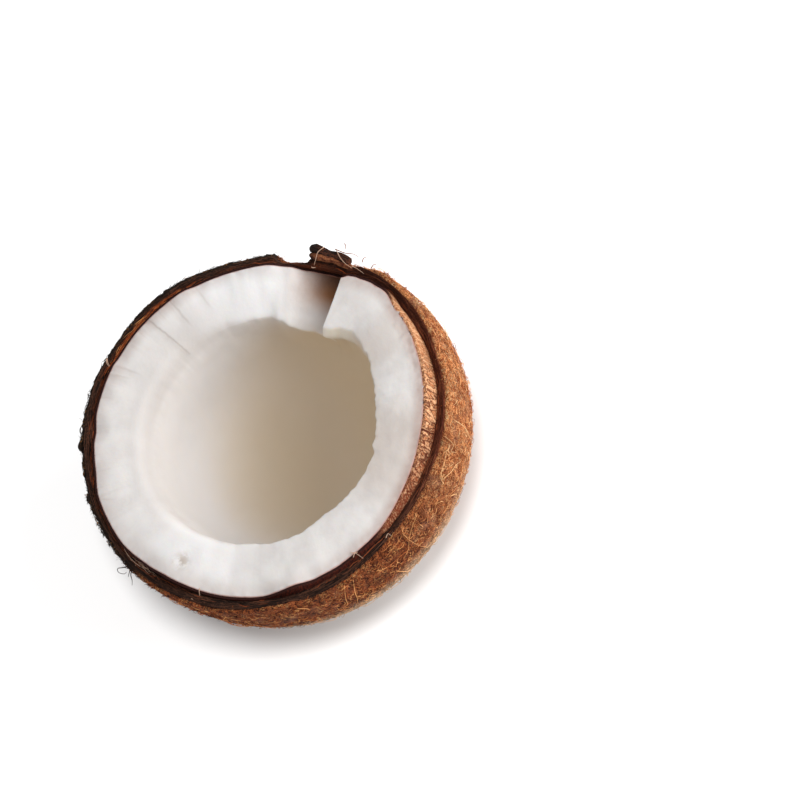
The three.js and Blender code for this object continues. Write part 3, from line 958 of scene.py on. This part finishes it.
def coirFinish():
    look = Finish("coir", Specular_IOR_Level=0.2)
    matted = look.place.noise(0.8, 4, 0.8, 1)
    fine = look.place.noise(0.32, 2, 0.7, 1)
    pale = curlLines(look.place, 1.5, 0.04)
    # painted shade in the gaps between the curls
    gaps = curlLines(look.place.scaled(-1, 1, 1), 1.1, 0.07)
    shade = (matted * 0.6 + fine * 0.6).rise(0.55, 0.66) * (1 - gaps)
    return look.use(
        Base_Color=coirColour(look, shade, pale * 0.75), Roughness=0.8 + 0.15 * fine,
        Normal=(matted + fine * 0.6 + pale * 0.5 - gaps * 0.5).bump(0.6, 1))


def fibreFinish():
    look = Finish("coirFibre", Specular_IOR_Level=0.1)
    tone = look.attribute("tone")
    colour = coirColour(look, tone.rise(0, 0.6), tone.rise(0.7, 1))
    colour = tone.rise(1.1, 1.3).blend(colour, shellLook["pale"])
    return look.use(Base_Color=colour, Roughness=0.7 + 0.2 * tone)


fibreMaterial = fibreFinish()


walls = (
    ("flesh", "kernel", "kernel", flesh, fleshProfile, fleshRelief, fleshFinish),
    ("brown_skin", "testa", "testa", skin, skinProfile, skinRelief, skinFinish),
    ("hard_shell", "shell", "shell", shell, shellProfile, shellRelief, shellFinish),
    ("coir_mat", "coir", "coir_coat", coat, coatProfile, coatRelief, coirFinish),
)
for name, slot, node, figures, profileOf, relief, finish in walls:
    piece = wrapSkin(name, figures["columns"], profileOf, relief)
    finishPiece(piece, slot, finish(), node)

# Fibres: curls that lie on the coat, three-sided and a few segments long

fibres = {
    "pieces": 3,
    "count": 8200,  # in each piece
    "segments": 3,
    "length": (1.1, 3),
    "thickness": (0.05, 0.1),
    "bright": 0.16,  # share of pale ones, which are longer and thicker by these factors
    "brightLength": 1.25,
    "brightThickness": 1.5,
    "curl": 100,  # most that one turns from segment to segment
    "wobble": 25,
    "lift": 0.45,
    "sink": 0.05,
    "edgeGap": 0.004,  # this one and the next two are polar angles in radians
    "bareAngle": 0.2,  # none stand so near the pole
    "bareEyes": 0.5,  # nor over the eyes this near it
    "strays": 0.12,  # share of them that stand up further
    "strayLift": 1.1,
    "seed": 5,
}


def addTube(paths, name):
    # paths are lists of (point, thickness), with a tone each
    section = bpy.data.curves.new("section", "CURVE")
    ring = section.splines.new("POLY")
    ring.points.add(2)
    for k, point in enumerate(ring.points):
        turn = k * math.tau / 3
        point.co = (math.cos(turn), math.sin(turn), 0, 1)
    ring.use_cyclic_u = True
    sectionObject = addPiece("section", section)
    curve = bpy.data.curves.new(name, "CURVE")
    curve.dimensions = "3D"
    curve.bevel_mode = "OBJECT"
    curve.bevel_object = sectionObject
    tones = []
    for path, tone in paths:
        spline = curve.splines.new("POLY")
        spline.points.add(len(path) - 1)
        spline.points.foreach_set("co", [c for p, _ in path for c in (*(p * mm), 1)])
        spline.points.foreach_set("radius", [thickness * mm for _, thickness in path])
        tones += [tone] * 3 * len(path)
    source = addPiece(name, curve)
    bpy.context.view_layer.update()
    depsgraph = bpy.context.evaluated_depsgraph_get()
    mesh = bpy.data.meshes.new_from_object(source.evaluated_get(depsgraph))
    bpy.data.objects.remove(source)
    bpy.data.objects.remove(sectionObject)
    mesh.attributes.new("tone", "FLOAT", "POINT").data.foreach_set("value", tones)
    tubes = bmesh.new()
    tubes.from_mesh(mesh)
    ends = [edge for edge in tubes.edges if edge.is_boundary]
    bmesh.ops.holes_fill(tubes, edges=ends, sides=3)
    bmesh.ops.recalc_face_normals(tubes, faces=tubes.faces)
    tubes.to_mesh(mesh)
    tubes.free()
    mesh.shade_smooth()
    return addPiece(name, mesh)


def stepped(azimuth, step, heading, radius):
    # the azimuth and the way up after a step along the surface
    azimuth += math.degrees(step * math.cos(math.radians(heading)) / radius)
    return azimuth, step * math.sin(math.radians(heading))


def curl(draw, azimuth, polar, heading, length, thickness):
    # a curl along the coat from one spot on it
    path = []
    segments = fibres["segments"]
    turn = draw.uniform(-fibres["curl"], fibres["curl"])
    lift = fibres["strayLift" if draw.random() < fibres["strays"] else "lift"]
    lift *= draw.uniform(0.15, 1)
    for k in range(segments + 1):
        share = k / segments
        polar = min(polar, edgePolar(edges["coat"](azimuth), 0) - fibres["edgeGap"])
        height = lift * math.sin(math.pi * min(1, share * 0.8 + 0.08)) - fibres["sink"]
        point = onLayer(azimuth, polar, -height)
        point.z = max(point.z, thickness)
        path.append((point, thickness * (1 - 0.5 * share)))
        radius = max(2, math.hypot(point.x, point.y))
        azimuth, up = stepped(azimuth, length / segments, heading, radius)
        polar += up / body["poleDepth"]
        heading += turn + draw.uniform(-fibres["wobble"], fibres["wobble"])
    return path


def makeFibres():
    draw = random.Random(fibres["seed"])
    for piece in range(fibres["pieces"]):
        paths = []
        while len(paths) < fibres["count"]:
            polar = math.acos(1 - draw.random() * (1 - math.cos(rimAngle)))
            azimuth = draw.uniform(-180, 180)
            overEye = polar < fibres["bareEyes"] and eyeCloseness(onLayer(azimuth, polar, 0)) > 0
            pastEdge = polar > edgePolar(edges["coat"](azimuth), 0)
            if polar < fibres["bareAngle"] or overEye or pastEdge:
                continue
            thickness = draw.uniform(*fibres["thickness"])
            length = draw.uniform(*fibres["length"])
            bright = draw.random() < fibres["bright"]
            if bright:
                thickness *= fibres["brightThickness"]
                length *= fibres["brightLength"]
            path = curl(draw, azimuth, polar, draw.uniform(0, 360), length, thickness)
            paths.append((path, draw.uniform(0.75, 1) if bright else 0.7 * draw.random() ** 1.5))
        finishPiece(addTube(paths, f"coir_fibres_{piece}"), "coir", fibreMaterial)


makeFibres()


def flowing(points, count):
    # a smooth line through the points
    line = []
    ends = [points[0] * 2 - points[1], *points, points[-1] * 2 - points[-2]]
    for k in range(count + 1):
        t = k / count * (len(points) - 1)
        i = min(int(t), len(points) - 2)
        f = t - i
        a, b, c, d = ends[i:i + 4]
        bend = (2 * a - 5 * b + 4 * c - d) * f * f + (3 * b - a - 3 * c + d) * f ** 3
        line.append((2 * b + (c - a) * f + bend) / 2)
    return line


def tapered(line, thickness):
    count = len(line) - 1
    return [(point, thickness * (1 - 0.6 * k / count)) for k, point in enumerate(line)]


# Long strands: placed ones as (azimuth, height, lift) on the coat, then loose ones by chance

def onCoat(azimuth, height, lift):
    polar = math.acos((body["poleDepth"] - height) / body["poleDepth"])
    return onLayer(azimuth, polar, -lift)


strands = {
    # their place, more segments, how much thicker, and tone
    "kinds": (
        ("placed", onCoat, 0, 1, None), ("paleFree", spot, 0, 1.2, 1.4),
        ("darkFree", spot, 4, 1.4, 0.1)),
    "placed": (
        ((-78.5, 58, 0.3), (-78.6, 54.2, 0.7), (-78, 49.5, 0.8), (-76.6, 42.3, 0.4)),
        ((-98, 58.4, 0.1), (-99.8, 54.1, 0.6), (-101, 49, 0.7), (-102.8, 44.4, 0.3)),
        ((-101, 58.6, 0.2), (-103, 53.9, 0.6), (-104, 49.8, 0.6), (-106.5, 48, 0.2)),
        ((-41.5, 55.4, 0.2), (-42.2, 51, 0.7), (-43.4, 46.2, 0.5), (-43, 43, 0.2)),
        ((-47.3, 58, 0.2), (-48.6, 54.9, 0.6), (-50.8, 54.9, 0.5), (-50, 52.2, 0.2)),
        ((-59, 54.4, 0.2), (-55.6, 52.5, 0.6), (-53.4, 51.5, 0.6), (-51.6, 48.8, 0.3)),
        ((-61.5, 47.5, 0.2), (-60, 45.4, 0.8), (-61, 42, 0.6), (-64, 41, 0.2)),
        ((-87.5, 48, 0.2), (-86.4, 45.4, 0.6), (-85.2, 40.7, 0.5), (-83, 38.6, 0.2)),
        ((-138, 58.6, 0.2), (-139, 56.8, 0.5), (-140.2, 54.6, 0.5), (-139, 52, 0.2)),
        ((-116, 59, 0.2), (-114.4, 58.8, 0.6), (-113.2, 57.2, 0.5), (-113.8, 55.4, 0.2)),
    ),
    # across the splinters and off the rim, as (azimuth, radius, height)
    "paleFree": (
        ((30.2, 57, 62.5), (31.3, 55, 62.9), (31.6, 53.3, 62.2), (31.9, 51.3, 61.2)),
        ((32.6, 50.6, 61.1), (31.9, 50.4, 61.3), (31.2, 50.7, 61.1)),
        ((26.4, 57.5, 62.3), (23.7, 55.4, 62.9), (21.7, 54.5, 62), (19.4, 54.3, 60.8)),
        ((22.2, 54.6, 60.6), (18.6, 54.9, 60.5), (15.2, 54.6, 60.2)),
        ((-93.7, 50.5, 60.4), (-92.5, 51.6, 60.9), (-91.7, 54.1, 60)),
        ((-93.9, 51.9, 60.2), (-92.8, 51.6, 60.9), (-91.7, 51.7, 60.7)),
        ((-146.8, 50.8, 62.6), (-146.3, 51.8, 63), (-145.9, 52.9, 62.5)),
        ((-148.9, 55.5, 61.4), (-148.5, 54.2, 61.9), (-147.1, 55.1, 61.5)),
        ((-82.7, 54.2, 59.4), (-81.3, 54.2, 60.4), (-81.1, 55.2, 59.8)),
        ((112.6, 55.6, 60.7), (113.8, 54.6, 61.2), (114.7, 53.2, 61.3)),
        ((112.4, 55.5, 60.7), (113.5, 54.4, 61.2), (114.5, 53.1, 61.3)),
    ),
    "darkFree": (
        ((26.7, 57.4, 62.3), (23, 57.2, 62.6), (20.8, 58, 62), (19.2, 58.1, 61)),
        ((24.9, 60.1, 61.8), (24, 59.3, 62.3), (23.8, 58.2, 62)),
        ((17.8, 57.3, 60.2), (17.7, 58.4, 60.9), (17.2, 59.4, 60.6)),
        ((14.4, 57.1, 59.8), (14, 58.2, 60.6), (13.4, 58.8, 60.4)),
        ((-174.3, 55.2, 59.2), (-175.6, 56.8, 59), (-176.9, 58.1, 58.4), (-176, 58.7, 58),
         (-174.6, 57.9, 57.6), (-174.4, 57, 57.6)),
        ((-172.9, 55, 59.2), (-172.1, 56.6, 58.8), (-171, 57.6, 58), (-170.3, 58.7, 57.4)),
        ((-173.4, 55, 59.2), (-173, 56.4, 58.8), (-172.6, 57.6, 58.2)),
        ((133.8, 55.4, 59.4), (135.2, 57, 59.5), (136.8, 57, 59.5), (138, 55.6, 59.3)),
    ),
    "loose": 110,  # all the strands together
    "lifts": (0, 0.5, 0.9, 0.7, 0.2),  # of a loose one, from end to end
    "reach": 50,  # radius at which its steps are measured
    "bends": 40,
    "length": (7, 15),
    "thickness": 0.13,
    "segments": 12,
    "seed": 8,
}


def makeStrands():
    draw = random.Random(strands["seed"])
    thickness, bends = strands["thickness"], strands["bends"]
    paths = []
    for kind, placeOf, more, thicker, tone in strands["kinds"]:
        for points in strands[kind]:
            line = flowing([placeOf(*point) for point in points], strands["segments"] + more)
            paths.append((tapered(line, thickness * thicker), tone or draw.uniform(0.9, 1)))
    while len(paths) < strands["loose"]:
        azimuth, height = draw.uniform(-180, 180), draw.uniform(3, 57)
        heading, bend = draw.uniform(0, 360), draw.uniform(-bends, bends)
        step = draw.uniform(*strands["length"]) / (len(strands["lifts"]) - 1)
        points = []
        for lift in strands["lifts"]:
            height = min(height, rimHeight + edges["coat"](azimuth) - 1)
            points.append(onCoat(azimuth, max(1.5, height), lift))
            azimuth, up = stepped(azimuth, step, heading, strands["reach"])
            height += up
            heading += bend + draw.uniform(-bends, bends)
        line = flowing(points, strands["segments"])
        paths.append((tapered(line, thickness * draw.uniform(0.7, 1)), draw.uniform(0.6, 1)))
    finishPiece(addTube(paths, "long_strands"), "coir", fibreMaterial)


makeStrands()

# Short hairs that fray the coat's upper edge

fray = {
    "count": 2300,
    "segments": 3,
    "length": (0.7, 2.4),
    "thickness": (0.06, 0.11),
    # painted shade on the hairs away from the key lamp, painted light on the lit side
    "darkSide": (160, 100),  # azimuth and reach
    "paleSide": (-12, 60),
    "tuftsOut": 1.1,
    "tufts": (  # azimuth, spread, hairs, length
        (124.5, 1.2, 12, 1.2), (131, 1.5, 10, 0.9), (139.8, 2, 50, 1.2), (158.6, 1.3, 30, 1.6),
        (163, 1, 12, 1.4), (168, 1.2, 14, 1.4), (171.5, 0.8, 8, 1.6), (175.5, 1, 14, 1.3),
        (-164, 1.5, 10, 1.2), (-36, 1, 8, 1), (-9, 2, 12, 1.6), (2, 2, 14, 1.8), (9, 2, 16, 1.8)),
    "seed": 12,
}


def frayHair(draw, azimuth, depth, length, outward):
    # a bent hair from the edge of the coat
    drop = draw.uniform(0.1, 0.9)
    point = onLayer(azimuth, edgePolar(edges["coat"](azimuth) - drop, depth), depth)
    outwards, along = spot(azimuth, 1, 0), spot(azimuth + draw.choice((-90, 90)), 1, 0)
    heading = outwards * (outward + draw.uniform(-0.2, 0.7)) + along
    heading += Vector((0, 0, draw.uniform(-0.2, 0.7)))
    bend = outwards * draw.uniform(-1, 0.3) + along * draw.uniform(-0.6, 0.6)
    bend += Vector((0, 0, draw.uniform(-0.8, 0.3)))
    thickness = draw.uniform(*fray["thickness"])
    path = []
    for k in range(fray["segments"] + 1):
        path.append((point, thickness * (1 - 0.2 * k)))
        point = point + heading.normalized() * length / fray["segments"]
        heading = heading + bend
    return path


def makeFray():
    draw = random.Random(fray["seed"])
    paths = []
    for _ in range(fray["count"]):
        azimuth, depth = draw.uniform(-180, 180), draw.uniform(-0.1, 1.3)
        hair = frayHair(draw, azimuth, depth, draw.uniform(*fray["length"]), 0)
        # painted shade and light: hairs darker away from the key lamp, paler on the lit side
        tone = draw.random() ** 1.5 * (1 - 0.8 * near(azimuth, *fray["darkSide"]))
        paths.append((hair, mix(tone, 0.8, 0.7 * near(azimuth, *fray["paleSide"]))))
    for middle, spread, hairs, length in fray["tufts"]:
        for _ in range(hairs):
            azimuth = middle + spread * draw.uniform(-1, 1)
            hair = frayHair(draw, azimuth, 0, length * draw.uniform(0.5, 1), fray["tuftsOut"])
            paths.append((hair, 0.2 * draw.random()))
    finishPiece(addTube(paths, "edge_fray"), "coir", fibreMaterial)


makeFray()

# Torn strands that lie along the shell's broken edge

shellStrands = {
    "count": 1300,
    "segments": 6,
    "length": (3, 11),
    "thickness": (0.05, 0.12),
    "lift": (-0.02, 0.28),
    "wander": 0.12,
    "orange": (98, 20),  # azimuths and reaches of the brighter and redder ones
    "pale": (-175, 9),
    "reddish": (150, 60),
    "seed": 17,
}


def strandTone(draw, azimuth, across):
    chance = draw.random()
    if chance < 0.8 * near(azimuth, *shellStrands["orange"]) * ramp(across, 0.25, 0.5):
        return draw.uniform(0.55, 1)
    if chance < 0.7 * near(azimuth, *shellStrands["pale"]) * ramp(across, 0.6, 0.75):
        return 1.3
    reddish = 0.2 * ramp(across, 0.7, 0.9) * near(azimuth, *shellStrands["reddish"])
    return (0.4 + 0.25 * ramp(across, 0.3, 0.6) + reddish) * draw.random() ** 1.7


def makeShellStrands():
    draw = random.Random(shellStrands["seed"])
    segments, wander = shellStrands["segments"], shellStrands["wander"]
    rimDegree = math.radians(body["rimRadius"] - 1)
    paths = []
    for _ in range(shellStrands["count"]):
        azimuth = draw.uniform(-180, 180)
        across = draw.uniform(0.02, 0.98)
        step = draw.uniform(*shellStrands["length"]) / segments / rimDegree
        lift = draw.uniform(*shellStrands["lift"])
        thickness = draw.uniform(*shellStrands["thickness"])
        tone = strandTone(draw, azimuth, across)
        path = []
        for k in range(segments + 1):
            bow = math.sin(math.pi * k / segments)
            outer, inner = edges["shellOuter"](azimuth), edges["shellInner"](azimuth)
            depth = mix(shell["depth"] + shell["split"](azimuth), shell["innerDepth"], across)
            polar = edgePolar(mix(outer, inner, across) + lift * bow, depth)
            path.append((onLayer(azimuth, polar, depth), thickness * (0.5 + 0.5 * bow)))
            azimuth += step
            across = min(0.99, max(0.01, across + draw.uniform(-wander, wander)))
        paths.append((path, tone))
    finishPiece(addTube(paths, "shell_strands"), "shell", strandFinish())


makeShellStrands()

# Torn splinters of the shell that stand off the rim beside the crack, from root to tip

splinters = {
    "shapes": (
        {"from": 20.8, "to": 35.3, "radius": 56, "height": 0.9, "width": 2.8, "tall": 2.3,
         "lift": 0.5, "curl": 0.2, "sink": 0.4, "rootDrop": 0.7},
        {"from": 19.4, "to": 35, "radius": 54.5, "height": 0.4, "width": 1.9, "tall": 2.2,
         "lift": 0.4, "curl": -0.3, "sink": 0, "rootDrop": 0.6},
    ),
    "around": 28,
    "along": 80,
    "tipWidth": 0.35,
    "tipBluntness": 1.7,
    "rootSlimness": 0.15,
    "squareness": 0.75,  # of the section
    "ribs": 0.28,
    "brown": rgb(106, 59, 40),
    "light": rgb(182, 114, 74),
    "seed": 41,
}


def makeSplinters():
    torn = bmesh.new()
    tone = torn.verts.layers.float.new("across")
    tipWidth, bluntness, seed = splinters["tipWidth"], splinters["tipBluntness"], splinters["seed"]
    for number, shape in enumerate(splinters["shapes"]):
        ends = {"u_segments": splinters["around"], "v_segments": splinters["along"], "radius": 1}
        for vert in bmesh.ops.create_uvsphere(torn, **ends)["verts"]:
            along = math.acos(min(1, max(-1, -vert.co.z))) / math.pi
            turn = math.atan2(vert.co.y, vert.co.x)
            root = (1 - along) ** 4
            girth = min(1, tipWidth + bluntness * math.sqrt(1 - along))
            girth *= min(1, math.sqrt(along * (1 - along)) * 5)
            girth *= 1 - splinters["rootSlimness"] * (1 - along)
            ribPlace = (along * 2.5, math.cos(turn) * 2.2, math.sin(turn) * 2.2 + number * 5)
            girth *= 1 + splinters["ribs"] * rough(Vector(ribPlace), 1, 3, seed)
            aside, up = [
                girth * math.copysign(abs(c) ** splinters["squareness"], c) / 2
                for c in (math.cos(turn), math.sin(turn))]
            wave = 0.3 * rough(Vector((along * 3, number * 9, 0)), 1, 2, seed + 1)
            radius = shape["radius"] + shape["curl"] * along ** 2 - shape["sink"] * root
            height = shape["height"] + shape["lift"] * along ** 3 - shape["rootDrop"] * root
            radius += aside * shape["width"] + wave
            height += up * shape["tall"] + wave
            vert[tone] = number + 0.4 * along
            azimuth = mix(shape["from"], shape["to"], along)
            vert.co = spot(azimuth, radius, rimHeight + height) * mm
    bmesh.ops.recalc_face_normals(torn, faces=torn.faces)
    finishPiece(asPiece("torn_splinters", torn), "shell", splinterFinish())


def splinterFinish():
    look = Finish("splinter", Specular_IOR_Level=0.2)
    across = look.attribute("across")
    lower = across.rise(0.5, 0.9)
    ribs = look.rimPlace(24, look.radius * 1.8).noise(1, 4, 0.7)
    fine = look.place.noise(0.5, 3, 0.7)
    shade = ribs * 0.7 + fine * 0.4
    colour = shade.rise(0.46, 0.7).blend(shellLook["black"], splinters["brown"])
    pale = shade.rise(0.44, 0.7).blend(shellLook["rightBlack"], splinters["light"])
    tips = across.rise(0.26, 0.36) * (1 - lower) + across.rise(1.3, 1.4)
    return look.use(
        Base_Color=(tips * 0.8).blend(lower.blend(colour, pale), shellLook["black"]),
        Roughness=0.6 + 0.3 * fine, Normal=(ribs + fine).bump(0.7, 1))


makeSplinters()

# A white floor and soft light, here in metres and watts

studio = {
    "floorSize": 4,
    "keyDirection": (0.72, -0.44, 0.54),
    "keyDistance": 0.9,
    "keySize": 0.75,
    "keyPower": 7.2,
    "abovePlace": (0.1, -0.37, 1.26),
    "aboveSize": 0.28,
    "abovePower": 15.5,
    "fill": 0.48,
    "floorGrey": 0.8,
}
rimMiddle = Vector((0, 0, rimHeight * mm))


def makeFloor():
    ground = bmesh.new()
    bmesh.ops.create_grid(ground, x_segments=1, y_segments=1, size=studio["floorSize"] / 2)
    floor = asPiece("floor", ground)
    grey = (*[studio["floorGrey"]] * 3, 1)
    look = Finish("floor", Base_Color=grey, Roughness=0.9, Specular_IOR_Level=0)
    floor.data.materials.append(look.material)
    return floor


def makeLamp(name, place, size, power, lit=None):
    # a round soft lamp that looks at the object, and may light one thing alone
    lamp = bpy.data.lights.new(name, "AREA")
    lamp.shape = "DISK"
    lamp.size = size
    lamp.energy = power
    key = addPiece(name, lamp)
    key.location = place
    key.rotation_euler = (place - rimMiddle).to_track_quat("Z", "Y").to_euler()
    key.visible_camera = False
    if lit:
        group = bpy.data.collections.new(name)
        group.objects.link(lit)
        key.light_linking.receiver_collection = group


def makeStudio():
    floor = makeFloor()
    keyPlace = rimMiddle + Vector(studio["keyDirection"]).normalized() * studio["keyDistance"]
    makeLamp("key", keyPlace, studio["keySize"], studio["keyPower"])
    abovePlace = Vector(studio["abovePlace"])
    makeLamp("above", abovePlace, studio["aboveSize"], studio["abovePower"], floor)
    world = bpy.data.worlds.new("fill")
    world.use_nodes = True
    light = world.node_tree.nodes["Background"].inputs
    light["Color"].default_value = (1, 1, 1, 1)
    light["Strength"].default_value = studio["fill"]
    bpy.context.scene.world = world
    bpy.context.scene.view_settings.view_transform = "Standard"


makeStudio()
print("studio lit")
